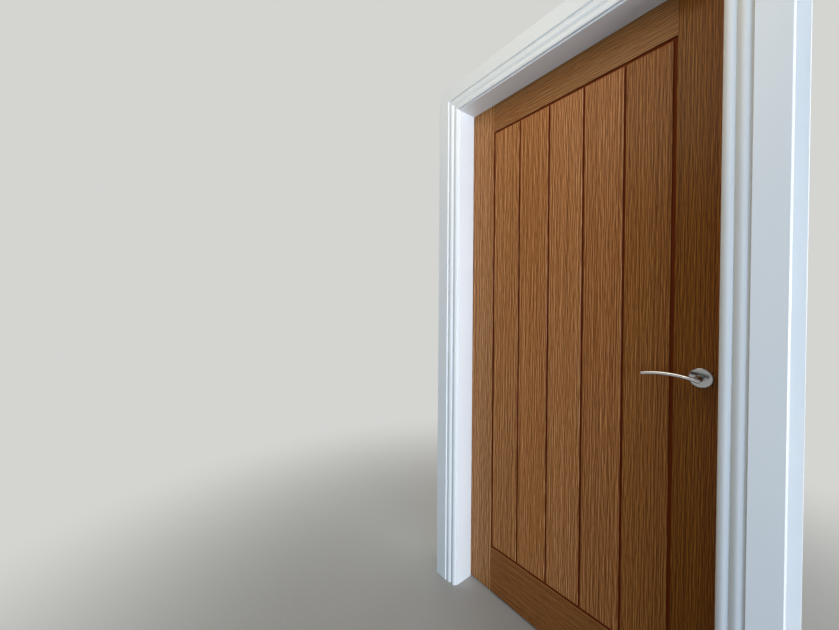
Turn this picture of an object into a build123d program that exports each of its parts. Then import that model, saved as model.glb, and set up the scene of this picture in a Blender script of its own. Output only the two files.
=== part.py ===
from build123d import *
import math
import os

# A panelled door leaf hung in its rebated lining, with architraves on both sides of the wall line,
# three butt hinges, and a tubular latch worked by a lever handle on each face.
# Sizes are in millimetres. X runs along the wall from the hinge side to the latch side, Y runs from
# the hall into the room, and Z is up. The origin is on the floor, in the middle of the overall
# width and depth.

# Door leaf
door_width = 838.0
door_height = 1981.0
door_thickness = 44.0
stile_width = 114.0
top_rail_height = 114.0
bottom_rail_height = 180.0
leaf_arris = 1.0

# Boards between the stiles, with a channel cut round each face
board_count = 5
border_channel = 9.0
board_channel = 7.0
channel_depth = 5.0
board_tongue_length = 8.0
board_tongue_thickness = 10.0

# Groove in the edges of stiles and rails, and the dowels of the corner joints
groove_width = 12.0
groove_depth = 12.0
groove_clearance = 0.2
tongue_end_gap = 1.0
dowel_radius = 6.0
dowel_length = 118.0
dowel_edge_distance = 26.0
dowels_per_joint = 3
dowel_clearance = 0.1

# Gaps round the closed leaf
side_gap = 3.0
head_gap = 2.0
floor_gap = 6.0
stop_gap = 1.0

# Lining
lining_depth = 131.0
lining_thickness = 36.0
stop_height = 10.0
lining_arris = 1.5

# Architraves, from the edge beside the opening outwards. The margins are the strips of the lining
# that stay in sight beside them.
architrave_width = 104.0
architrave_thickness = 18.0
hall_margin = 4.0
room_margin = 6.0
architrave_arris = 2.0
edge_height = 8.0
bead_width = 20.0
bead_height = 11.5
roll_width = 26.0
roll_height = 15.5
roll_peak = 16.0
quirk_height = 11.0
quirk_width = 2.0

# Butt hinges
hinge_length = 102.0
hinge_plate_thickness = 2.5
hinge_plate_reach = 31.5
knuckle_radius = 6.0
knuckle_count = 5
knuckle_gap = 0.2
knuckle_clearance = 0.4
pin_radius = 3.0
pin_clearance = 0.05
pin_head_radius = 4.4
pin_head_height = 2.2
pin_head_flat = 2.2
pin_head_bevel = 1.3
pin_offset = 6.5
top_hinge_drop = 150.0
bottom_hinge_rise = 225.0

# Screws, by the radius of the shank. A head is twice as wide as its shank, and the cross recess in
# it is given in shank radii.
recess_length = 2.2
recess_width = 0.5
recess_depth = 0.6
hinge_screw_radius = 2.1
hinge_screw_length = 22.0
plate_screw_radius = 1.75
plate_screw_length = 20.0
plate_screw_offset = 22.0
lining_screw_radius = 2.5
lining_screw_length = 70.0
screw_clearance = 0.1

# Places of screws, as shares: of the lining's depth, and across and along a hinge plate from its
# outer edge and its middle
lining_screw_shares = [0.15, 0.5, 0.85]
hinge_screw_shares = [(0.30, 0.39), (0.70, 0.15), (0.70, -0.15), (0.30, -0.39)]

# Latch
latch_height = 985.0
backset = 55.0
forend_height = 57.0
forend_width = 25.0
forend_thickness = 1.5
case_depth = 76.0
case_radius = 12.3
case_wall = 1.1
bolt_width = 11.0
bolt_height = 16.0
bolt_throw = 10.0
bolt_flat = 3.0
bolt_lead = 1.0
bolt_body_length = 17.0
bolt_clearance = 0.3
strike_thickness = 1.6
strike_hole_width = 13.0
strike_hole_height = 18.0
strike_lip_height = 32.0
keep_depth = 15.0
fitting_clearance = 0.1

# Follower, and the tail of the bolt that its arm draws back
hub_radius = 7.0
hub_length = 23.0
arm_reach = 9.9
arm_tip_radius = 1.0
arm_width = 4.4
arm_lean = 31.0
arm_gap = 0.15
tail_bar_width = 2.4
tail_bar_height = 2.2
hook_thickness = 3.0
hook_height = 2.1

# Handles
spindle_side = 8.0
spindle_reach = 22.0
spindle_clearance = 0.1
spindle_bore_radius = 9.0
rose_radius = 25.0
rose_height = 9.0
rose_wall = 1.2
rose_edge_radius = 3.0
collar_height = 1.5
collar_width = 2.2
rose_plate_thickness = 4.5
rose_bolt_offset = 19.0
rose_bolt_radius = 2.0
rose_boss_radius = 3.0
rose_boss_length = 15.0
neck_radius = 9.5
neck_end_radius = 5.2
neck_straight = 21.0
lever_projection = 60.0
lever_depth = 12.0
lever_thickness = 9.5
lever_reach = 114.0
lever_heel = 8.0
lever_crown = 7.5
lever_heel_drop = 2.5
lever_tip_rise = 1.5
lever_edge_radius = 4.2
neck_curve_share = 0.4
grub_radius = 2.5
grub_recess_radius = 1.25
grub_end_gap = 0.5
grub_distance = 15.0

# Depth of the whole, from the hall architrave to the room side lever
overall_depth = architrave_thickness + lining_depth + lever_projection
y_hall = architrave_thickness - overall_depth / 2
y_room = y_hall + lining_depth
y_face = y_room - door_thickness
y_stop = y_face - stop_gap
y_mid = y_room - door_thickness / 2

# Widths and heights that follow from the leaf
x_edge = door_width / 2
x_rebate = x_edge + side_gap
x_stop = x_rebate - stop_height
x_outer = x_stop + lining_thickness
z_leaf = floor_gap
z_leaf_top = floor_gap + door_height
z_rebate = z_leaf_top + head_gap
z_stop = z_rebate - stop_height
z_outer = z_stop + lining_thickness
x_panel = x_edge - stile_width
z_panel = z_leaf + bottom_rail_height
z_panel_top = z_leaf_top - top_rail_height
tongue_thickness = groove_width - groove_clearance
tongue_length = groove_depth - tongue_end_gap

# Hinge line and spindle line
x_pin = -x_edge - side_gap / 2
y_pin = y_room + pin_offset
x_spindle = x_edge - backset
top_hinge = z_leaf_top - top_hinge_drop - hinge_length / 2
bottom_hinge = z_leaf + bottom_hinge_rise + hinge_length / 2
hinge_centres = {"top": top_hinge, "middle": (top_hinge + bottom_hinge) / 2, "bottom": bottom_hinge}

os.makedirs("parts", exist_ok=True)


def save(piece, name):
    piece.part.label = name
    export_step(piece.part, f"parts/{name}.step")


# Countersunk screw with the top of its head at the origin, driven towards minus Z. With a
# clearance the same outline makes its hole, and the cross recess is left out.
def countersunk_screw(radius, length, clearance=0.0):
    head_radius = 2 * radius
    with BuildPart() as screw:
        with BuildSketch(Plane.XZ):
            with BuildLine():
                Polyline(
                    (0, 0),
                    (head_radius + clearance, 0),
                    (radius + clearance, radius - head_radius),
                    (radius + clearance, head_radius - length),
                    (0, -length - clearance),
                    close=True,
                )
            make_face()
        revolve(axis=Axis.Z)
        if clearance == 0.0:
            with BuildSketch(Plane.XY):
                Rectangle(recess_length * radius, recess_width * radius)
                Rectangle(recess_width * radius, recess_length * radius)
            extrude(amount=-recess_depth * radius, mode=Mode.SUBTRACT)
    return screw.part


lining_screw = countersunk_screw(lining_screw_radius, lining_screw_length)
lining_screw_hole = countersunk_screw(lining_screw_radius, lining_screw_length, screw_clearance)
lining_screw_places = [
    (side * (x_rebate + x_outer) / 2, y_hall + share * lining_depth, z_outer)
    for side in (-1, 1)
    for share in lining_screw_shares
]

hinge_screw = countersunk_screw(hinge_screw_radius, hinge_screw_length)
hinge_screw_hole = countersunk_screw(hinge_screw_radius, hinge_screw_length, screw_clearance)


# Places of the screws of one hinge plate, with their heads on the plane at x facing the given way
def hinge_screw_planes(x, facing, centre):
    return [
        Plane(
            origin=(x, y_room - across * hinge_plate_reach, centre + along * hinge_length),
            z_dir=(facing, 0, 0),
        )
        for across, along in hinge_screw_shares
    ]


plate_screw = countersunk_screw(plate_screw_radius, plate_screw_length)
plate_screw_hole = countersunk_screw(plate_screw_radius, plate_screw_length, screw_clearance)


# Places of the two screws of the face plate or the strike plate
def plate_screw_planes(x, facing):
    return [
        Plane(origin=(x, y_mid, latch_height + side * plate_screw_offset), z_dir=(facing, 0, 0))
        for side in (-1, 1)
    ]


# Section of the lining: the first value of each point runs from the opening outwards, the second
# is Y. The stop is towards the hall, and the corners that a hand can touch have an arris.
def lining_outline(inner, rebate, outer):
    arris = math.copysign(lining_arris, outer - inner)
    return [
        (inner, y_hall + lining_arris),
        (inner + arris, y_hall),
        (outer, y_hall),
        (outer, y_room),
        (rebate + arris, y_room),
        (rebate, y_room - lining_arris),
        (rebate, y_stop),
        (inner + arris, y_stop),
        (inner, y_stop - lining_arris),
    ]


# Hinge jamb, with a shallow pocket for each hinge plate
with BuildPart() as hinge_jamb:
    with BuildSketch(Plane.XY):
        with BuildLine():
            Polyline(*lining_outline(-x_stop, -x_rebate, -x_outer), close=True)
        make_face()
    extrude(amount=z_rebate)
    for centre in hinge_centres.values():
        with BuildSketch(Plane.YZ.offset(-x_rebate)):
            with Locations((y_room, centre)):
                Rectangle(
                    hinge_plate_reach + fitting_clearance,
                    hinge_length + 2 * fitting_clearance,
                    align=(Align.MAX, Align.CENTER),
                )
        extrude(amount=-hinge_plate_thickness, mode=Mode.SUBTRACT)
        with Locations(*hinge_screw_planes(-x_rebate, 1, centre)):
            add(hinge_screw_hole, mode=Mode.SUBTRACT)
    with Locations(*lining_screw_places):
        add(lining_screw_hole, mode=Mode.SUBTRACT)
save(hinge_jamb, "hinge_jamb")

# Latch jamb, with the pocket of the strike plate and the hollow that the bolt enters
with BuildPart() as latch_jamb:
    with BuildSketch(Plane.XY):
        with BuildLine():
            Polyline(*lining_outline(x_stop, x_rebate, x_outer), close=True)
        make_face()
    extrude(amount=z_rebate)
    with BuildSketch(Plane.YZ.offset(x_rebate)):
        with Locations((y_mid, latch_height)):
            Rectangle(forend_width + 2 * fitting_clearance, forend_height + 2 * fitting_clearance)
            Rectangle(
                door_thickness,
                strike_lip_height + 2 * fitting_clearance,
                align=(Align.MIN, Align.CENTER),
            )
    extrude(amount=strike_thickness, mode=Mode.SUBTRACT)
    with BuildSketch(Plane.YZ.offset(x_rebate)):
        with Locations((y_mid, latch_height)):
            Rectangle(strike_hole_width, strike_hole_height)
    extrude(amount=keep_depth, mode=Mode.SUBTRACT)
    with Locations(*plate_screw_planes(x_rebate, -1)):
        add(plate_screw_hole, mode=Mode.SUBTRACT)
    with Locations(*lining_screw_places):
        add(lining_screw_hole, mode=Mode.SUBTRACT)
save(latch_jamb, "latch_jamb")

# Head of the lining, trenched to house the tops of the jambs
with BuildPart() as head:
    with BuildSketch(Plane.YZ.offset(-x_outer)):
        with BuildLine():
            Polyline(*[(y, z) for z, y in lining_outline(z_stop, z_rebate, z_outer)], close=True)
        make_face()
    extrude(amount=2 * x_outer)
    with BuildSketch(Plane.XY.offset(z_stop)):
        with Locations((-x_outer, y_hall), (x_stop, y_hall)):
            Rectangle(lining_thickness, lining_depth, align=Align.MIN)
    extrude(amount=stop_height, mode=Mode.SUBTRACT)
    with Locations(*lining_screw_places):
        add(lining_screw_hole, mode=Mode.SUBTRACT)
save(head, "head")

with BuildPart() as lining_screws:
    with Locations(*lining_screw_places):
        add(lining_screw)
save(lining_screws, "lining_screws")


# Moulded section of an architrave. The place function turns a distance from the edge beside the
# opening and a height above the wall into a point of the sketch.
def architrave_face(place):
    roll_end = bead_width + roll_width
    band_start = roll_end + quirk_width
    with BuildSketch(mode=Mode.PRIVATE) as section:
        with BuildLine():
            Line(place(0, 0), place(0, edge_height))
            ThreePointArc(
                place(0, edge_height),
                place(bead_width / 2, bead_height),
                place(bead_width, edge_height),
            )
            ThreePointArc(
                place(bead_width, edge_height),
                place(bead_width + roll_peak, roll_height),
                place(roll_end, quirk_height),
            )
            Polyline(
                place(roll_end, quirk_height),
                place(band_start, architrave_thickness),
                place(architrave_width - architrave_arris, architrave_thickness),
                place(architrave_width, architrave_thickness - architrave_arris),
                place(architrave_width, 0),
                place(0, 0),
            )
        make_face()
    return section.sketch


# The three architraves of one side of the wall line. They stand on the plane at y_back, face the
# given way, and meet in mitres.
def architrave_set(side_name, x_inner, z_inner, y_back, facing):
    x_far = x_inner + architrave_width
    z_far = z_inner + architrave_width
    mitre = Plane(origin=(x_inner, y_back, z_inner), z_dir=(1, 0, -1))

    with BuildPart() as latch_leg:
        with BuildSketch(Plane.XY):
            add(architrave_face(lambda u, v: (x_inner + u, y_back + facing * v)))
        extrude(amount=z_far)
        split(bisect_by=mitre, keep=Keep.TOP)
    save(latch_leg, f"{side_name}_architrave_latch")

    with BuildPart() as hinge_leg:
        mirror(latch_leg.part, about=Plane.YZ)
    save(hinge_leg, f"{side_name}_architrave_hinge")

    with BuildPart() as head_piece:
        with BuildSketch(Plane.YZ.offset(-x_far)):
            add(architrave_face(lambda u, v: (y_back + facing * v, z_inner + u)))
        extrude(amount=2 * x_far)
        split(bisect_by=mitre, keep=Keep.BOTTOM)
        split(bisect_by=Plane(origin=(-x_inner, y_back, z_inner), z_dir=(1, 0, 1)), keep=Keep.TOP)
    save(head_piece, f"{side_name}_architrave_head")


architrave_set("hall", x_stop + hall_margin, z_stop + hall_margin, y_hall, -1)
architrave_set("room", x_rebate + room_margin, z_rebate + room_margin, y_room, 1)


# One plate of a butt hinge with its knuckles. The leaf plate faces minus X, the frame plate plus X.
knuckle_length = (hinge_length - (knuckle_count - 1) * knuckle_gap) / knuckle_count


def hinge_plate(centre, facing, first_knuckle, screw_planes):
    x_face = x_pin + facing * side_gap / 2
    x_back = x_face + facing * hinge_plate_thickness
    y_end = y_room - hinge_plate_reach
    z_low = centre - hinge_length / 2
    with BuildPart() as plate:
        with BuildSketch(Plane.XY.offset(z_low)):
            with BuildLine():
                Polyline(
                    (x_face, y_end),
                    (x_back, y_end),
                    (x_back, y_pin - knuckle_radius - knuckle_clearance),
                    (x_face, y_pin - knuckle_radius - knuckle_clearance),
                    close=True,
                )
            make_face()
        extrude(amount=hinge_length)
        for index in range(first_knuckle, knuckle_count, 2):
            with BuildSketch(Plane.XY.offset(z_low + index * (knuckle_length + knuckle_gap))):
                with Locations((x_pin, y_pin)):
                    Circle(knuckle_radius)
                with BuildLine():
                    Polyline(
                        (x_face, y_end),
                        (x_back, y_end),
                        (x_back, y_pin),
                        (x_face, y_pin),
                        close=True,
                    )
                make_face()
                with Locations((x_pin, y_pin)):
                    Circle(pin_radius + pin_clearance, mode=Mode.SUBTRACT)
            extrude(amount=knuckle_length)
        with Locations(*screw_planes):
            add(hinge_screw_hole, mode=Mode.SUBTRACT)
    return plate


for level, centre in hinge_centres.items():
    frame_plate = hinge_plate(centre, -1, 0, hinge_screw_planes(-x_rebate, 1, centre))
    save(frame_plate, f"hinge_frame_plate_{level}")
    leaf_plate = hinge_plate(centre, 1, 1, hinge_screw_planes(-x_edge, -1, centre))
    save(leaf_plate, f"hinge_leaf_plate_{level}")

    # Pin with a domed head above and below the knuckles
    with BuildPart() as hinge_pin:
        with BuildSketch(Plane.XZ.offset(-y_pin)):
            with BuildLine():
                half = hinge_length / 2
                dome = half + knuckle_gap + pin_head_height
                Polyline(
                    (x_pin, centre - dome),
                    (x_pin, centre + dome),
                    (x_pin + pin_head_flat, centre + dome),
                    (x_pin + pin_head_radius, centre + dome - pin_head_bevel),
                    (x_pin + pin_head_radius, centre + half + knuckle_gap),
                    (x_pin + pin_radius, centre + half + knuckle_gap),
                    (x_pin + pin_radius, centre - half - knuckle_gap),
                    (x_pin + pin_head_radius, centre - half - knuckle_gap),
                    (x_pin + pin_head_radius, centre - dome + pin_head_bevel),
                    (x_pin + pin_head_flat, centre - dome),
                    close=True,
                )
            make_face()
        revolve(axis=Axis((x_pin, y_pin, 0), (0, 0, 1)))
    save(hinge_pin, f"hinge_pin_{level}")

with BuildPart() as hinge_frame_screws:
    for centre in hinge_centres.values():
        with Locations(*hinge_screw_planes(-x_rebate, 1, centre)):
            add(hinge_screw)
save(hinge_frame_screws, "hinge_frame_screws")

with BuildPart() as hinge_leaf_screws:
    for centre in hinge_centres.values():
        with Locations(*hinge_screw_planes(-x_edge, -1, centre)):
            add(hinge_screw)
save(hinge_leaf_screws, "hinge_leaf_screws")

# Strike plate with the lip that the bolt rides up when the door is closed
with BuildPart() as strike_plate:
    with BuildSketch(Plane.YZ.offset(x_rebate)):
        with Locations((y_mid, latch_height)):
            Rectangle(forend_width, forend_height)
            Rectangle(
                door_thickness / 2 - lining_arris,
                strike_lip_height,
                align=(Align.MIN, Align.CENTER),
            )
            Rectangle(strike_hole_width, strike_hole_height, mode=Mode.SUBTRACT)
    extrude(amount=strike_thickness)
    lip_end = edges().filter_by(Axis.Z).sort_by(Axis.Y)[-2:]
    chamfer(lip_end.sort_by(Axis.X)[:1], length=strike_thickness / 2)
    with Locations(*plate_screw_planes(x_rebate, -1)):
        add(plate_screw_hole, mode=Mode.SUBTRACT)
save(strike_plate, "strike_plate")

with BuildPart() as strike_screws:
    with Locations(*plate_screw_planes(x_rebate, -1)):
        add(plate_screw)
save(strike_screws, "strike_screws")

# Places of the dowels: along X, centred on the joint between a rail and a stile
dowel = Cylinder(dowel_radius, dowel_length, rotation=(0, 90, 0))
dowel_hole = Cylinder(
    dowel_radius + dowel_clearance, dowel_length + 2 * tongue_end_gap, rotation=(0, 90, 0)
)


def dowel_heights(low, high):
    first = low + dowel_edge_distance
    step = (high - low - 2 * dowel_edge_distance) / (dowels_per_joint - 1)
    return [first + index * step for index in range(dowels_per_joint)]


rail_dowel_heights = dowel_heights(z_leaf, z_panel) + dowel_heights(z_panel_top, z_leaf_top)
dowel_places = [(side * x_panel, y_mid, height) for side in (-1, 1) for height in rail_dowel_heights]


# A stile lies between its outer edge and the boards, side is -1 at the hinges and 1 at the latch.
# Its inner edge carries the groove for boards and rails.
def stile(side):
    with BuildPart() as piece:
        with BuildSketch(Plane.XY.offset(z_leaf)):
            with Locations((side * (x_edge + x_panel) / 2, y_mid)):
                Rectangle(stile_width, door_thickness)
            corners = vertices().sort_by(Axis.X)
            chamfer(corners[-2:] if side > 0 else corners[:2], length=leaf_arris)
            with Locations((side * (x_panel + groove_depth / 2), y_mid)):
                Rectangle(groove_depth, groove_width, mode=Mode.SUBTRACT)
        extrude(amount=door_height)
        with BuildSketch(Plane.XY.offset(z_panel)):
            with Locations((side * x_panel, y_face), (side * x_panel, y_room)):
                Rectangle(leaf_arris * math.sqrt(2), leaf_arris * math.sqrt(2), rotation=45)
        extrude(amount=z_panel_top - z_panel, mode=Mode.SUBTRACT)
        with Locations(*dowel_places):
            add(dowel_hole, mode=Mode.SUBTRACT)
    return piece


hinge_stile_blank = stile(-1)
with BuildPart() as hinge_stile:
    add(hinge_stile_blank.part)
    for centre in hinge_centres.values():
        with BuildSketch(Plane.YZ.offset(-x_edge)):
            with Locations((y_room, centre)):
                Rectangle(
                    hinge_plate_reach + fitting_clearance,
                    hinge_length + 2 * fitting_clearance,
                    align=(Align.MAX, Align.CENTER),
                )
        extrude(amount=hinge_plate_thickness, mode=Mode.SUBTRACT)
        with Locations(*hinge_screw_planes(-x_edge, -1, centre)):
            add(hinge_screw_hole, mode=Mode.SUBTRACT)
save(hinge_stile, "hinge_stile")

# The latch stile is bored from its edge for the latch and through its faces for the spindle and
# the two bolts of the roses
latch_stile_blank = stile(1)
forend_pocket = 2 * forend_thickness
with BuildPart() as latch_stile:
    add(latch_stile_blank.part)
    with BuildSketch(Plane.YZ.offset(x_edge)):
        with Locations((y_mid, latch_height)):
            Rectangle(forend_width + 2 * fitting_clearance, forend_height + 2 * fitting_clearance)
    extrude(amount=-forend_pocket, mode=Mode.SUBTRACT)
    with BuildSketch(Plane.YZ.offset(x_edge)):
        with Locations((y_mid, latch_height)):
            Circle(case_radius + 2 * fitting_clearance)
    extrude(amount=-case_depth - 2 * tongue_end_gap, mode=Mode.SUBTRACT)
    with BuildSketch(Plane.XZ.offset(-y_face)):
        with Locations((x_spindle, latch_height)):
            Circle(spindle_bore_radius)
        with Locations(
            (x_spindle, latch_height - rose_bolt_offset), (x_spindle, latch_height + rose_bolt_offset)
        ):
            Circle(rose_boss_radius + fitting_clearance)
    extrude(amount=-door_thickness, mode=Mode.SUBTRACT)
    with Locations(*plate_screw_planes(x_edge, 1)):
        add(plate_screw_hole, mode=Mode.SUBTRACT)
save(latch_stile, "latch_stile")


# A rail runs between the stiles from z_low to z_high, with a tongue on each end for the groove of
# the stiles and a groove in the edge that meets the boards
def rail(z_low, z_high, board_edge):
    inward = 1 if board_edge < (z_low + z_high) / 2 else -1
    with BuildPart() as piece:
        with BuildSketch(Plane.YZ.offset(-x_panel)):
            with Locations((y_mid, (z_low + z_high) / 2)):
                Rectangle(door_thickness, z_high - z_low)
            chamfer(vertices(), length=leaf_arris)
            with Locations((y_mid, board_edge + inward * groove_depth / 2)):
                Rectangle(groove_width, groove_depth, mode=Mode.SUBTRACT)
        extrude(amount=2 * x_panel)
        with BuildSketch(Plane.YZ.offset(-x_panel - tongue_length)):
            with Locations((y_mid, (z_low + z_high) / 2)):
                Rectangle(tongue_thickness, z_high - z_low)
            with Locations((y_mid, board_edge + inward * groove_depth / 2)):
                Rectangle(groove_width, groove_depth, mode=Mode.SUBTRACT)
        extrude(amount=2 * (x_panel + tongue_length))
        with Locations(*dowel_places):
            add(dowel_hole, mode=Mode.SUBTRACT)
    return piece


top_rail = rail(z_panel_top, z_leaf_top, z_panel_top)
save(top_rail, "top_rail")
bottom_rail = rail(z_leaf, z_panel, z_panel)
save(bottom_rail, "bottom_rail")

with BuildPart() as rail_dowels:
    with Locations(*dowel_places):
        add(dowel)
save(rail_dowels, "rail_dowels")

# Boards: equal in pitch between the middles of the border channels. Each is tongued on its right
# edge and grooved on its left, the outer edges fit the stiles and the ends fit the rails.
first_joint = -x_panel + border_channel / 2
board_pitch = (2 * x_panel - border_channel) / board_count
core_thickness = door_thickness - 2 * channel_depth


def cut_board_groove(x):
    with Locations((x, y_mid)):
        Rectangle(
            board_tongue_length + tongue_end_gap,
            board_tongue_thickness + groove_clearance,
            align=(Align.MIN, Align.CENTER),
            mode=Mode.SUBTRACT,
        )


for index in range(board_count):
    is_first = index == 0
    is_last = index == board_count - 1
    left_joint = -x_panel if is_first else first_joint + index * board_pitch
    right_joint = x_panel if is_last else first_joint + (index + 1) * board_pitch
    left_face = left_joint + (border_channel if is_first else board_channel / 2)
    right_face = right_joint - (border_channel if is_last else board_channel / 2)
    right_tongue = tongue_length if is_last else board_tongue_length
    right_tongue_thickness = tongue_thickness if is_last else board_tongue_thickness
    with BuildPart() as board:
        with BuildSketch(Plane.XY.offset(z_panel)):
            with Locations(((left_joint + right_joint) / 2, y_mid)):
                Rectangle(right_joint - left_joint, core_thickness)
            with Locations((right_joint, y_mid)):
                Rectangle(right_tongue, right_tongue_thickness, align=(Align.MIN, Align.CENTER))
            if is_first:
                with Locations((left_joint, y_mid)):
                    Rectangle(tongue_length, tongue_thickness, align=(Align.MAX, Align.CENTER))
            else:
                cut_board_groove(left_joint)
        extrude(amount=z_panel_top - z_panel)
        with BuildSketch(Plane.XY.offset(z_panel - tongue_length)):
            with Locations(((left_joint + right_joint) / 2, y_mid)):
                Rectangle(right_joint - left_joint, tongue_thickness)
            if not is_first:
                cut_board_groove(left_joint)
        extrude(amount=z_panel_top - z_panel + 2 * tongue_length)
        for face_plane, inward in ((y_face, 1), (y_room, -1)):
            with BuildSketch(Plane.XZ.offset(-face_plane)):
                with Locations(((left_face + right_face) / 2, (z_panel + z_panel_top) / 2)):
                    Rectangle(
                        right_face - left_face, z_panel_top - z_panel - 2 * border_channel
                    )
            extrude(amount=-inward * channel_depth)
        chamfer(faces().sort_by(Axis.Y)[0].edges(), length=leaf_arris)
        chamfer(faces().sort_by(Axis.Y)[-1].edges(), length=leaf_arris)
    save(board, f"board_{index + 1}")

# Case of the latch: a tube behind a plate, with two holes that carry the follower
x_forend = x_edge - forend_thickness
with BuildPart() as latch_case:
    with BuildSketch(Plane.YZ.offset(x_forend)):
        with Locations((y_mid, latch_height)):
            Rectangle(forend_width, forend_height)
    extrude(amount=-forend_thickness)
    with BuildSketch(Plane.YZ.offset(x_forend)):
        with Locations((y_mid, latch_height)):
            Circle(case_radius)
    extrude(amount=forend_thickness - case_depth)
    with BuildSketch(Plane.YZ.offset(x_forend - forend_thickness)):
        with Locations((y_mid, latch_height)):
            Circle(case_radius - case_wall)
    extrude(amount=2 * forend_thickness + case_wall - case_depth, mode=Mode.SUBTRACT)
    with BuildSketch(Plane.YZ.offset(x_forend)):
        with Locations((y_mid, latch_height)):
            Rectangle(bolt_width + 2 * bolt_clearance, bolt_height + 2 * bolt_clearance)
    extrude(amount=-forend_thickness, mode=Mode.SUBTRACT)
    with BuildSketch(Plane.XZ.offset(-y_face)):
        with Locations((x_spindle, latch_height)):
            Circle(hub_radius + fitting_clearance)
    extrude(amount=-door_thickness, mode=Mode.SUBTRACT)
    with Locations(*plate_screw_planes(x_edge, 1)):
        add(plate_screw_hole, mode=Mode.SUBTRACT)
save(latch_case, "latch_case")

with BuildPart() as latch_face_plate:
    with BuildSketch(Plane.YZ.offset(x_edge)):
        with Locations((y_mid, latch_height)):
            Rectangle(forend_width, forend_height)
            Rectangle(
                bolt_width + 2 * bolt_clearance,
                bolt_height + 2 * bolt_clearance,
                mode=Mode.SUBTRACT,
            )
    extrude(amount=-forend_thickness)
    with Locations(*plate_screw_planes(x_edge, 1)):
        add(plate_screw_hole, mode=Mode.SUBTRACT)
save(latch_face_plate, "latch_face_plate")

with BuildPart() as latch_screws:
    with Locations(*plate_screw_planes(x_edge, 1)):
        add(plate_screw)
save(latch_screws, "latch_screws")

# Follower: a hub with a square hole, turned in the case, and an arm that leans towards the edge
# of the leaf while the lever is level
lean = math.radians(arm_lean)
arm_tip = (x_spindle + arm_reach * math.sin(lean), latch_height + arm_reach * math.cos(lean))
with BuildPart() as follower:
    with BuildSketch(Plane.XZ.offset(-y_mid)):
        with Locations((x_spindle, latch_height)):
            Circle(hub_radius)
    extrude(amount=hub_length / 2, both=True)
    with BuildSketch(Plane.XZ.offset(-y_mid)):
        with Locations(((x_spindle + arm_tip[0]) / 2, (latch_height + arm_tip[1]) / 2)):
            SlotCenterToCenter(arm_reach, 2 * arm_tip_radius, rotation=90 - arm_lean)
    extrude(amount=arm_width / 2, both=True)
    with BuildSketch(Plane.XZ.offset(-y_mid)):
        with Locations((x_spindle, latch_height)):
            Rectangle(spindle_side + 2 * spindle_clearance, spindle_side + 2 * spindle_clearance)
    extrude(amount=hub_length / 2, both=True, mode=Mode.SUBTRACT)
save(follower, "follower")

# Latch bolt: a bevelled head, a body that slides in the case and stops behind the plate, and two
# bars over the hub that end in the hook in front of the arm
bore_radius = case_radius - case_wall
x_shoulder = x_edge - 2 * forend_thickness - fitting_clearance
x_body_end = x_shoulder - bolt_body_length
tail_inner = arm_width / 2 + arm_gap
tail_low = latch_height + hub_radius + bolt_clearance
tail_high = tail_low + tail_bar_height
hook_low = latch_height + arm_reach * math.cos(lean) + arm_gap
hook_reach = (hook_low - arm_tip[1]) * math.tan(lean) + arm_tip_radius / math.cos(lean)
x_hook = arm_tip[0] - hook_reach - arm_gap
with BuildPart() as latch_bolt:
    with BuildSketch(Plane.XY.offset(latch_height)):
        with BuildLine():
            Polyline(
                (x_shoulder, y_mid - bolt_width / 2),
                (x_edge + bolt_lead, y_mid - bolt_width / 2),
                (x_edge + bolt_throw, y_mid + bolt_width / 2 - bolt_flat),
                (x_edge + bolt_throw, y_mid + bolt_width / 2),
                (x_shoulder, y_mid + bolt_width / 2),
                close=True,
            )
        make_face()
    extrude(amount=bolt_height / 2, both=True)
    with BuildSketch(Plane.YZ.offset(x_shoulder)):
        with Locations((y_mid, latch_height)):
            Circle(bore_radius - fitting_clearance)
            Rectangle(bolt_width, 2 * bore_radius, mode=Mode.INTERSECT)
    extrude(amount=-bolt_body_length)
    with BuildSketch(Plane.YZ.offset(x_hook - hook_thickness)):
        for side in (-1, 1):
            with Locations((y_mid + side * (tail_inner + tail_bar_width / 2), tail_low)):
                Rectangle(tail_bar_width, tail_bar_height, align=(Align.CENTER, Align.MIN))
    extrude(amount=x_body_end - x_hook + hook_thickness)
    with BuildSketch(Plane.YZ.offset(x_hook)):
        with Locations((y_mid, hook_low)):
            Rectangle(
                2 * (tail_inner + tail_bar_width), tail_high - hook_low, align=(Align.CENTER, Align.MIN)
            )
            Rectangle(arm_width, hook_height, align=(Align.CENTER, Align.MIN))
    extrude(amount=-hook_thickness)
save(latch_bolt, "latch_bolt")

# Square spindle through the leaf into both levers
with BuildPart() as spindle:
    with BuildSketch(Plane.XZ.offset(spindle_reach - y_face)):
        with Locations((x_spindle, latch_height)):
            Rectangle(spindle_side, spindle_side)
    extrude(amount=-door_thickness - 2 * spindle_reach)
save(spindle, "spindle")

# Roses and levers are drawn on the hall face, where the distance from the leaf runs to minus Y,
# and mirrored about the middle of the leaf for the room side
spindle_axis = Axis((x_spindle, y_mid, latch_height), (0, 1, 0))
rose_profile_plane = Plane(origin=(x_spindle, y_face, latch_height), x_dir=(1, 0, 0), z_dir=(0, 0, 1))
leaf_middle = Plane.XZ.offset(-y_mid)
collar_hole = neck_radius + fitting_clearance
collar_radius = collar_hole + collar_width
plate_radius = rose_radius - rose_wall - fitting_clearance

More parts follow.
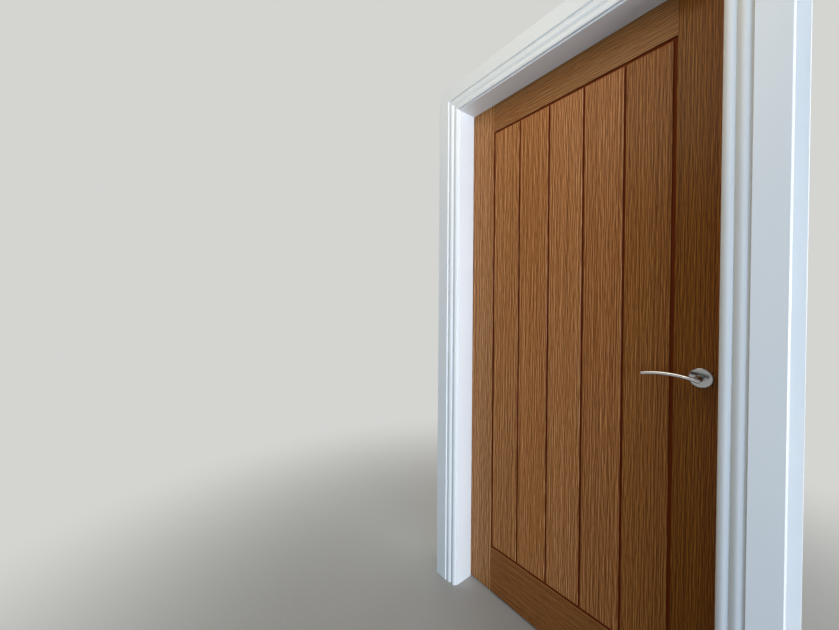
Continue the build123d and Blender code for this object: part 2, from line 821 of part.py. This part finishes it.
with BuildPart() as rose_hall:
    with BuildSketch(rose_profile_plane):
        with BuildLine():
            Polyline(
                (collar_hole, -rose_height + rose_wall),
                (collar_hole, -rose_height - collar_height),
                (collar_radius, -rose_height - collar_height),
                (collar_radius, -rose_height),
                (rose_radius - rose_edge_radius, -rose_height),
            )
            RadiusArc(
                (rose_radius - rose_edge_radius, -rose_height),
                (rose_radius, -rose_height + rose_edge_radius),
                -rose_edge_radius,
            )
            Polyline(
                (rose_radius, -rose_height + rose_edge_radius),
                (rose_radius, 0),
                (rose_radius - rose_wall, 0),
                (rose_radius - rose_wall, -rose_height + rose_edge_radius),
                (rose_radius - rose_edge_radius, -rose_height + rose_wall),
                (collar_hole, -rose_height + rose_wall),
            )
        make_face()
    revolve(axis=spindle_axis)
save(rose_hall, "rose_hall")

with BuildPart() as rose_room:
    mirror(rose_hall.part, about=leaf_middle)
save(rose_room, "rose_room")

# Fixing plates: the hall one has bosses that the bolts screw into from the room one
rose_bolt_places = [
    (x_spindle, latch_height + side * rose_bolt_offset) for side in (-1, 1)
]
with BuildPart() as rose_plate_hall:
    with BuildSketch(Plane.XZ.offset(-y_face)):
        with Locations((x_spindle, latch_height)):
            Circle(plate_radius)
            Circle(collar_hole, mode=Mode.SUBTRACT)
    extrude(amount=rose_plate_thickness)
    with BuildSketch(Plane.XZ.offset(-y_face)):
        with Locations(*rose_bolt_places):
            Circle(rose_boss_radius)
    extrude(amount=-rose_boss_length)
    with BuildSketch(Plane.XZ.offset(rose_plate_thickness - y_face)):
        with Locations(*rose_bolt_places):
            Circle(rose_bolt_radius + fitting_clearance)
    extrude(amount=-rose_plate_thickness - rose_boss_length, mode=Mode.SUBTRACT)
save(rose_plate_hall, "rose_plate_hall")

bolt_head_plane = y_room + rose_plate_thickness
rose_bolt_length = door_thickness + 2 * rose_plate_thickness - fitting_clearance
rose_bolt = countersunk_screw(rose_bolt_radius, rose_bolt_length)
rose_bolt_hole = countersunk_screw(rose_bolt_radius, rose_bolt_length, fitting_clearance)
rose_bolt_planes = [
    Plane(origin=(x, bolt_head_plane, z), z_dir=(0, 1, 0)) for x, z in rose_bolt_places
]
with BuildPart() as rose_plate_room:
    with BuildSketch(Plane.XZ.offset(-y_room)):
        with Locations((x_spindle, latch_height)):
            Circle(plate_radius)
            Circle(collar_hole, mode=Mode.SUBTRACT)
    extrude(amount=-rose_plate_thickness)
    with Locations(*rose_bolt_planes):
        add(rose_bolt_hole, mode=Mode.SUBTRACT)
save(rose_plate_room, "rose_plate_room")

with BuildPart() as rose_bolts:
    with Locations(*rose_bolt_planes):
        add(rose_bolt)
save(rose_bolts, "rose_bolts")

# Lever: a neck that narrows from the rose to the bar, and a slim bar that rises in a shallow arc
# and comes down again to its tip
bar_distance = lever_projection - lever_depth / 2
neck_curve = neck_curve_share * (bar_distance - neck_straight)
with BuildPart() as lever_hall:
    with BuildSketch(rose_profile_plane):
        with BuildLine():
            Polyline(
                (0, -bar_distance),
                (0, -spindle_clearance),
                (neck_radius, -spindle_clearance),
                (neck_radius, -neck_straight),
            )
            Bezier(
                (neck_radius, -neck_straight),
                (neck_radius, -neck_straight - neck_curve),
                (neck_end_radius, -bar_distance + neck_curve),
                (neck_end_radius, -bar_distance),
            )
            Line((neck_end_radius, -bar_distance), (0, -bar_distance))
        make_face()
    revolve(axis=spindle_axis)
    with BuildLine(Plane.XZ.offset(bar_distance - y_face)) as bar_path:
        ThreePointArc(
            (x_spindle + lever_heel, latch_height - lever_heel_drop),
            (x_spindle - (lever_reach - lever_heel) / 2, latch_height + lever_crown),
            (x_spindle - lever_reach, latch_height + lever_tip_rise),
        )
    with BuildSketch(Plane(origin=bar_path.line @ 0, x_dir=(0, 1, 0), z_dir=bar_path.line % 0)):
        RectangleRounded(lever_depth, lever_thickness, lever_edge_radius)
    sweep(path=bar_path.line)
    with BuildSketch(Plane.XZ.offset(-y_face)):
        with Locations((x_spindle, latch_height)):
            Rectangle(spindle_side + 2 * spindle_clearance, spindle_side + 2 * spindle_clearance)
    extrude(amount=spindle_reach + 2 * spindle_clearance, mode=Mode.SUBTRACT)
    with BuildSketch(Plane.XY.offset(latch_height - spindle_side / 2)):
        with Locations((x_spindle, y_face - grub_distance)):
            Circle(grub_radius + fitting_clearance)
    extrude(amount=-2 * neck_radius, mode=Mode.SUBTRACT)
save(lever_hall, "lever_hall")

with BuildPart() as lever_room:
    mirror(lever_hall.part, about=leaf_middle)
save(lever_room, "lever_room")

# Grub screws from below, against the flat of the spindle
grub_length = neck_radius - spindle_side / 2 - grub_end_gap
with BuildPart() as grub_screws:
    with BuildSketch(Plane.XY.offset(latch_height - spindle_side / 2)):
        with Locations((x_spindle, y_face - grub_distance), (x_spindle, y_room + grub_distance)):
            Circle(grub_radius)
            RegularPolygon(grub_recess_radius, 6, mode=Mode.SUBTRACT)
    extrude(amount=-grub_length)
    with BuildSketch(Plane.XY.offset(latch_height - spindle_side / 2)):
        with Locations((x_spindle, y_face - grub_distance), (x_spindle, y_room + grub_distance)):
            Circle(grub_radius)
    extrude(amount=-grub_length / 2)
save(grub_screws, "grub_screws")
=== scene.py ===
import math

import bpy
from mathutils import Matrix, Vector

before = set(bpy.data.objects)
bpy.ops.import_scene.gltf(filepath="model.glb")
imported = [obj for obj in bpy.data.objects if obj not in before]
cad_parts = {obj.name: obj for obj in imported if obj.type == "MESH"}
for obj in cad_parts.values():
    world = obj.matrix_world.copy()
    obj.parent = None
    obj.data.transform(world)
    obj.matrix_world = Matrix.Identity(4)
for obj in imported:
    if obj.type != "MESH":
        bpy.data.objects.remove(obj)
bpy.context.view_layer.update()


# Lining: two rebated softwood jambs and a rebated head, planed smooth and painted white. The paint
# is brushed along each member, so its bristle marks follow the length and catch a little light.

class Shade:
    """One socket of a material's nodes. Arithmetic on it adds the nodes that work it out."""

    def __init__(self, nodes, socket):
        self.nodes = nodes
        self.socket = socket

    def node(self, kind, settings, inputs, output=0):
        made = self.nodes.new("ShaderNode" + kind)
        for setting, value in settings.items():
            if setting == "stops":
                made.color_ramp.elements.remove(made.color_ramp.elements[0])
                made.color_ramp.elements[0].position = value[0][0]
                made.color_ramp.elements[0].color = (*value[0][1], 1)
                for position, colour in value[1:]:
                    made.color_ramp.elements.new(position).color = (*colour, 1)
            else:
                setattr(made, setting, value)
        for name, value in inputs.items():
            if isinstance(value, Shade):
                made.id_data.links.new(value.socket, made.inputs[name])
            else:
                made.inputs[name].default_value = value
        return Shade(self.nodes, made.outputs[output])

    def join(self, operation, first, second):
        parts = (first, second)
        if any(isinstance(part, Shade) and part.socket.type == "VECTOR" for part in parts):
            parts = [(part,) * 3 if isinstance(part, (int, float)) else part for part in parts]
            return self.node("VectorMath", {"operation": operation}, {0: parts[0], 1: parts[1]})
        return self.node("Math", {"operation": operation}, {0: first, 1: second})

    def __add__(self, other):
        return self.join("ADD", self, other)

    def __radd__(self, other):
        return self.join("ADD", other, self)

    def __sub__(self, other):
        return self.join("SUBTRACT", self, other)

    def __rsub__(self, other):
        return self.join("SUBTRACT", other, self)

    def __mul__(self, other):
        return self.join("MULTIPLY", self, other)

    def __rmul__(self, other):
        return self.join("MULTIPLY", other, self)

    def __pow__(self, other):
        return self.join("POWER", self, other)

    def __abs__(self):
        return self.node("Math", {"operation": "ABSOLUTE"}, {0: self})

    def axes(self):
        split = self.node("SeparateXYZ", {}, {0: self}).socket.node
        return [Shade(self.nodes, out) for out in split.outputs]

    def noise(self, detail):
        return self.node("TexNoise", {}, {"Vector": self, "Scale": 1.0, "Detail": detail})

    def rise(self, low, high):
        """From 0 at low to 1 at high, smoothly."""
        return self.node(
            "MapRange",
            {"interpolation_type": "SMOOTHSTEP"},
            {"Value": self, "From Min": low, "From Max": high},
        )

    def mix(self, way, factor, first, second):
        """Mix of two colours, whose sockets are 6 and 7 on that node, with the result at 2."""
        settings = {"data_type": "RGBA", "blend_type": way}
        return self.node("Mix", settings, {0: factor, 6: first, 7: second}, 2)

    def blend(self, at_zero, at_one):
        return self.mix("MIX", self, at_zero, at_one)

    def tint(self, colour):
        return self.mix("MULTIPLY", 1.0, self, colour)

    def relief(self, depth):
        """Bump as deep as the given metres."""
        return self.node("Bump", {}, {"Height": self, "Strength": 1.0, "Distance": depth})

    def into(self, surface, name):
        surface.id_data.links.new(self.socket, surface.inputs[name])


def finish(name, **sockets):
    """A new material: itself, its place on the piece at rest, and its surface node."""
    material = bpy.data.materials.new(name)
    material.use_nodes = True
    nodes = material.node_tree.nodes
    surface = nodes["Principled BSDF"]
    for socket, value in sockets.items():
        surface.inputs[socket.replace("_", " ")].default_value = value
    place = Shade(nodes, nodes.new("ShaderNodeTexCoord").outputs["Object"])
    return material, place, surface


def dress(material, *nodes):
    for node in nodes:
        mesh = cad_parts[node].data
        mesh.materials.clear()
        mesh.materials.append(material)


def white_paint(name, along):
    """Satin paint, brushed along the given axis of the part. Scales are in marks to the metre."""
    marks_along, marks_across, ripples, patches = 3.0, 900.0, 55.0, 3.0
    cool_white, warm_white = (0.785, 0.790, 0.785, 1), (0.810, 0.810, 0.800, 1)
    satin, ripple_dulling, bristle_dulling = 0.36, 0.10, 0.06
    bristle_height = 0.00001
    material, place, surface = finish(name, Coat_Weight=0.15, Coat_Roughness=0.25)
    stretch = tuple(marks_along if axis == along else marks_across for axis in "xyz")
    bristles = (place * stretch).noise(2.0)
    levelling = (place * ripples).noise(3.0)
    body = (place * patches).noise(2.0).rise(0.3, 0.7)
    body.blend(cool_white, warm_white).into(surface, "Base Color")
    roughness = satin + ripple_dulling * levelling + bristle_dulling * bristles
    roughness.into(surface, "Roughness")
    bristles.relief(bristle_height).into(surface, "Normal")
    return material


upright_paint = white_paint("white_paint_upright", "z")
level_paint = white_paint("white_paint_level", "x")
dress(upright_paint, "hinge_jamb", "latch_jamb")
dress(level_paint, "head")


# Architraves: moulded in one run, cut to mitres and nailed round both faces of the lining, then
# painted with it.
dress(upright_paint, "hall_architrave_hinge", "hall_architrave_latch")
dress(upright_paint, "room_architrave_hinge", "room_architrave_latch")
dress(level_paint, "hall_architrave_head", "room_architrave_head")


# Fixings: screws and bolts of bright zinc plated steel, turned and then tumbled, so they have a
# fine random grain and no direction.

def plated_steel(name, colour, roughness):
    grain_marks, tarnish_marks = 260.0, 60.0
    tarnished = 0.82
    grain_dulling, grain_height = 0.12, 0.00004
    material, place, surface = finish(name, Metallic=1.0)
    cloud = (place * grain_marks).noise(3.0)
    tarnish = (place * tarnish_marks).noise(2.0).rise(0.35, 0.75)
    dull = tuple(tarnished * part for part in colour)
    tarnish.blend((*colour, 1), (*dull, 1)).into(surface, "Base Color")
    (roughness - 0.5 * grain_dulling + grain_dulling * cloud).into(surface, "Roughness")
    cloud.relief(grain_height).into(surface, "Normal")
    return material


zinc = plated_steel("zinc_plated_steel", (0.66, 0.67, 0.68), 0.34)
dress(zinc, "lining_screws", "hinge_frame_screws", "hinge_leaf_screws")
dress(zinc, "strike_screws", "latch_screws", "rose_bolts", "grub_screws")


# Butt hinges and latch plates: satin stainless steel, let in flush and screwed. It was ground along
# the leaf's height, which leaves fine parallel lines, and handling has dulled it in places.

def satin_steel(name, colour, roughness, along):
    marks_along, marks_across, handled_marks = 60.0, 2600.0, 45.0
    brightened, dulled = 1.06, 0.90
    line_dulling, handled_dulling, line_height = 0.06, 0.06, 0.000004
    material, place, surface = finish(name, Metallic=1.0)
    stretch = tuple(marks_along if axis == along else marks_across for axis in "xyz")
    grinding = (place * stretch).noise(2.0)
    handling = (place * handled_marks).noise(3.0).rise(0.3, 0.75)
    bright = tuple(brightened * part for part in colour)
    dull = tuple(dulled * part for part in colour)
    grinding.rise(0.3, 0.7).blend((*dull, 1), (*bright, 1)).into(surface, "Base Color")
    uneven = line_dulling * (grinding - 0.5) + handled_dulling * handling
    (roughness + uneven).into(surface, "Roughness")
    grinding.relief(line_height).into(surface, "Normal")
    return material


ground_steel = satin_steel("ground_steel", (0.60, 0.59, 0.57), 0.30, "z")
for level in ("top", "middle", "bottom"):
    dress(ground_steel, "hinge_frame_plate_" + level, "hinge_leaf_plate_" + level)
    dress(ground_steel, "hinge_pin_" + level)
dress(ground_steel, "strike_plate", "latch_face_plate", "latch_bolt")


# Stiles and rails: oak, stained mid brown and sprayed with a satin lacquer. Growth rings run as
# long lines along each piece, short streaks and dark open pores lie between them, and the sides
# of the channels round the panel are darkened with gathered stain and with painted shade.

leaf_middle, leaf_half = 0.0225, 0.022
panel_half = 0.310
panel_low, panel_high = 0.181, 1.878
panel_edge = 0.002

dark_ring, mid_brown = (0.135, 0.044, 0.0060), (0.265, 0.098, 0.0190)
light_brown, straw = (0.400, 0.170, 0.0430), (0.620, 0.310, 0.1050)
pore_brown = (0.100, 0.032, 0.0060, 1)
# Brown of the channels: gathered stain and painted shade.
stain_and_shade_brown = (0.140, 0.0170, 0.0004, 1)
# Tint of a painted highlight along the channels' edges.
arris_highlight_tint = (1.5, 1.6, 1.8, 1)


def oak(name, along, pith, seed, tone_and_shade, fine):
    """Oak with its grain along x or z. Pith is where the rings centre, across the piece and in
    depth, and fine is how many streaks there are to the metre."""
    material, place, surface = finish(name, Coat_Roughness=0.28, Specular_IOR_Level=0.18)
    x, y, z = place.axes()
    across, length = (x, z) if along == "z" else (z, x)

    def grain(marks_across, marks_along, sideways, detail):
        point = place.node(
            "CombineXYZ",
            {},
            {
                0: sideways * marks_across,
                1: y * marks_across + seed,
                2: length * marks_along + seed,
            },
        )
        return point.noise(detail)

    def lined(marks_across, marks_along, sideways, detail):
        """Light and dark lines side by side: the grain less itself half a mark further."""
        beside = sideways + 0.5 / marks_across
        here = grain(marks_across, marks_along, sideways, detail)
        return 0.5 + here - grain(marks_across, marks_along, beside, detail)

    wander, lean = 0.003, 0.006
    swayed = across + wander * (grain(6.0, 0.7, across, 1.0) - 0.5)
    aside = swayed - pith[0] - lean * length
    deep = y - pith[1]
    radius = (aside * aside + deep * deep) ** 0.5
    rings = lined(0.9 * fine, 1.2, radius, 0.0).rise(0.25, 0.75)
    broad = lined(fine, 18.0, swayed, 0.0)
    narrow = lined(2.3 * fine, 24.0, swayed, 1.0)
    streaks = (0.55 * broad + 0.45 * narrow).rise(0.335, 0.665)
    fibres = grain(1200.0, 34.0, swayed, 2.0).rise(0.25, 0.75)
    pores = grain(700.0, 30.0, swayed, 1.0).rise(0.55, 0.68) * (1.0 - 0.6 * rings)
    cloud = grain(22.0, 0.7, swayed, 1.0).rise(0.25, 0.75)

    figure = 0.30 * rings + 0.54 * streaks + 0.10 * fibres + 0.06 * cloud
    stops = [(0.10, dark_ring), (0.36, mid_brown), (0.62, light_brown), (0.92, straw)]
    wood = figure.node("ValToRGB", {"stops": stops}, {"Fac": figure})
    # Tinted by the piece's colour, which is partly the oak's own and partly painted shade.
    wood = (pores * 0.55).blend(wood, pore_brown).tint((*tone_and_shade, 1))

    # Stain and painted shade darken the channels from 1 to 1.8 mm below the face, and a painted
    # highlight lightens the edges of the channels.
    depth = leaf_half - abs(y - leaf_middle)
    inside = (
        (panel_half - abs(x)).rise(0.0, panel_edge)
        * (z - panel_low).rise(0.0, panel_edge)
        * (panel_high - z).rise(0.0, panel_edge)
    )
    channel_stain_and_shade = depth.rise(0.0010, 0.0018) * inside * 0.95
    # A painted highlight lightens the edges of the channels.
    painted_arris_highlight = depth.rise(0.0, 0.0003) * (1.0 - depth.rise(0.0010, 0.0013)) * 0.4
    wood = painted_arris_highlight.blend(wood, wood.tint(arris_highlight_tint))
    channel_stain_and_shade.blend(wood, stain_and_shade_brown).into(surface, "Base Color")
    lacquer = 0.05 * (1.0 - channel_stain_and_shade)
    lacquer.into(surface, "Coat Weight")
    roughness = 0.38 + 0.08 * fibres + 0.16 * pores + 0.35 * channel_stain_and_shade
    roughness.into(surface, "Roughness")
    grain_height = 0.00012
    raised = 0.35 * fibres + 0.25 * streaks - 0.9 * pores
    raised.relief(grain_height).into(surface, "Normal")
    return material


# Each piece's colour is partly the oak's own; the latch stile's and bottom rail's darker colours
# are painted shade.
members = {
    "hinge_stile": ("z", (-0.62, 0.10), 3.1, (1.02, 1.03, 1.32), 200.0),
    "latch_stile": ("z", (0.62, 0.12), 11.7, (0.60, 0.45, 0.12), 330.0),
    "top_rail": ("x", (2.12, 0.10), 23.9, (0.74, 0.70, 0.74), 360.0),
    "bottom_rail": ("x", (-0.12, 0.13), 31.3, (0.71, 0.58, 0.51), 360.0),
}
for member, (along, pith, seed, tone_and_shade, fine) in members.items():
    dress(oak("oak_" + member, along, pith, seed, tone_and_shade, fine), member)


# Boards: five tongued and grooved oak boards in the stiles' groove. Each comes from another
# plank, so colour and figure change from board to board; board 5's darker colour is painted shade.

boards = [
    ((-0.45, 0.09), (1.09, 1.02, 1.18), 215.0),
    ((-0.62, 0.16), (1.09, 0.97, 1.06), 235.0),
    ((-0.45, 0.10), (1.12, 1.02, 1.20), 250.0),
    ((0.33, 0.12), (1.00, 0.85, 0.90), 285.0),
    ((0.62, 0.11), (0.75, 0.60, 0.43), 320.0),
]
first_seed, seed_step = 40.0, 7.3
for index, (pith, tone_and_shade, fine) in enumerate(boards, 1):
    seed = first_seed + seed_step * index
    dress(oak(f"oak_board_{index}", "z", pith, seed, tone_and_shade, fine), f"board_{index}")


# Dowels: turned from beech, pale and dry, and glued unseen between rails and stiles. Their grain
# runs along them, level in the leaf.
beech, beech_place, beech_surface = finish("beech", Roughness=0.6)
beech_marks = (25.0, 700.0, 700.0)
beech_grain = (beech_place * beech_marks).noise(3.0)
beech_grain.blend((0.50, 0.34, 0.19, 1), (0.66, 0.48, 0.29, 1)).into(beech_surface, "Base Color")
beech_grain.relief(0.0001).into(beech_surface, "Normal")
dress(beech, "rail_dowels")


# Latch: a pressed steel case let into the leaf's edge, with the follower that the spindle turns.
# The plates under the roses are pressed from the same plain steel.
pressed_steel = plated_steel("pressed_steel", (0.56, 0.55, 0.52), 0.42)
dress(pressed_steel, "latch_case", "follower", "spindle", "rose_plate_hall", "rose_plate_room")


# Roses and levers: cast, polished and plated in satin nickel, smooth to the touch, with very fine
# lines along the lever from its last polishing.
lever_metal = satin_steel("satin_nickel_lever", (0.61, 0.60, 0.635), 0.13, "x")
rose_metal = satin_steel("satin_nickel_rose", (0.40, 0.41, 0.41), 0.11, "x")
dress(lever_metal, "lever_hall", "lever_room")
dress(rose_metal, "rose_hall", "rose_room")


# Studio: a pale floor that fades into an even pale background, broad lamps on the right, a small
# warm one above the front, and soft light on the back and the left.

background = (0.66, 0.66, 0.64, 1)
half = 40
corners = [(-half, -half, 0), (half, -half, 0), (half, half, 0), (-half, half, 0)]
floor_mesh = bpy.data.meshes.new("floor")
floor_mesh.from_pydata(corners, [], [(0, 1, 2, 3)])
floor = bpy.data.objects.new("floor", floor_mesh)
bpy.context.scene.collection.objects.link(floor)
floor_finish, floor_place, floor_surface = finish("pale_floor", Roughness=0.75)
fleck = (floor_place * 60.0).noise(4.0)
floor_x, floor_y = floor_place.axes()[:2]
away = (floor_x * floor_x + floor_y * floor_y) ** 0.5
floor_rays = away.node("LightPath", {}, {}).socket.node
floor_lighting = Shade(away.nodes, floor_rays.outputs["Is Diffuse Ray"])
floor_seen = Shade(away.nodes, floor_rays.outputs["Is Camera Ray"])
floor_mirrored = Shade(away.nodes, floor_rays.outputs["Is Glossy Ray"])
pale = fleck.blend((0.45, 0.45, 0.44, 1), (0.49, 0.49, 0.48, 1))
# To bounced light the floor is dark near the door: painted shade that dims the light reaching the
# door's foot.
bounced_with_painted_shade = away.rise(0.6, 2.4).blend((0.07, 0.08, 0.09, 1), (0.36, 0.37, 0.37, 1))
floor_lighting.blend(pale, bounced_with_painted_shade).into(floor_surface, "Base Color")
glow = away.node("Emission", {}, {"Color": background, "Strength": 1.0})
matt = Shade(away.nodes, floor_surface.outputs[0])
fade = away.rise(0.9, 2.6) * (floor_seen + floor_mirrored)
floor_look = fade.node("MixShader", {}, {0: fade, 1: matt, 2: glow})
floor_look.into(away.nodes["Material Output"], "Surface")
floor_mesh.materials.append(floor_finish)

world = bpy.data.worlds.new("studio")
world.use_nodes = True
bpy.context.scene.world = world
sky_surface = world.node_tree.nodes["Background"]
sky = Shade(world.node_tree.nodes, sky_surface.outputs[0])
rays = sky.node("LightPath", {}, {}).socket.node
seen = Shade(sky.nodes, rays.outputs["Is Camera Ray"])
mirrored = Shade(sky.nodes, rays.outputs["Is Glossy Ray"])
upward = sky.node("TexCoord", {}, {}).axes()[2]
overhead = upward.rise(0.0, 0.9).blend((0.20, 0.20, 0.205, 1), (0.54, 0.54, 0.53, 1))
filling = upward.rise(-0.5, 0.7).blend((0.165, 0.200, 0.245, 1), (0.215, 0.208, 0.185, 1))
around = mirrored.blend(filling, overhead)
seen.blend(around, background).into(sky_surface, "Color")


def lamp(name, place, target, size, power, colour):
    data = bpy.data.lights.new(name, "AREA")
    data.shape = "RECTANGLE"
    data.size, data.size_y = size
    data.energy = power
    data.color = colour
    made = bpy.data.objects.new(name, data)
    bpy.context.scene.collection.objects.link(made)
    made.location = place
    made.rotation_euler = (Vector(target) - Vector(place)).to_track_quat("-Z", "Y").to_euler()
    made.visible_camera = False
    return made


high_aim, middle_aim = (0.0, 0.0, 1.1), (0.0, 0.0, 1.0)
soft_white = (1.0, 0.99, 0.97)
lamp("far_lamp", (9.4, -5.7, 1.5), high_aim, (3.6, 2.8), 610, (0.50, 0.66, 0.91))
lamp("side_lamp", (8.0, -1.45, 0.5), middle_aim, (2.0, 1.0), 395, (0.93, 0.97, 1.0))
# The front lamp fills the latch side and isn't mirrored in the rose.
filler = lamp("front_lamp", (2.0, -3.4, 0.9), (0.2, 0.0, 1.0), (1.2, 1.2), 24, (0.48, 0.74, 1.0))
filler.visible_glossy = False
lamp("warm_lamp", (-0.2, -1.2, 2.4), high_aim, (0.9, 0.9), 7.5, (1.0, 0.85, 0.58))
lamp("back_lamp", (1.2, 3.2, 3.0), middle_aim, (4.8, 4.8), 94, soft_white)
lamp("left_lamp", (-3.4, 1.4, 2.6), middle_aim, (4.0, 4.0), 50, soft_white)


# Camera: where the photograph was taken from, close to the latch side and looking back at the
# hinges through a very wide lens, with the image 839 by 630.
eye = (0.5962, -1.0733, 1.1465)
yaw, pitch, roll = (math.radians(angle) for angle in (52.221, 0.589, 0.352))
focal_pixels, image_width = 337.01, 839
camera_data = bpy.data.cameras.new("camera")
camera_data.sensor_width = 36.0
camera_data.lens = focal_pixels * camera_data.sensor_width / image_width
camera_data.clip_start = 0.01
camera = bpy.data.objects.new("camera", camera_data)
camera.matrix_world = (
    Matrix.Translation(eye)
    @ Matrix.Rotation(yaw, 4, "Z")
    @ Matrix.Rotation(math.pi / 2 - pitch, 4, "X")
    @ Matrix.Rotation(roll, 4, "Z")
)
bpy.context.scene.collection.objects.link(camera)
bpy.context.scene.camera = camera
bpy.context.scene.view_settings.view_transform = "Standard"
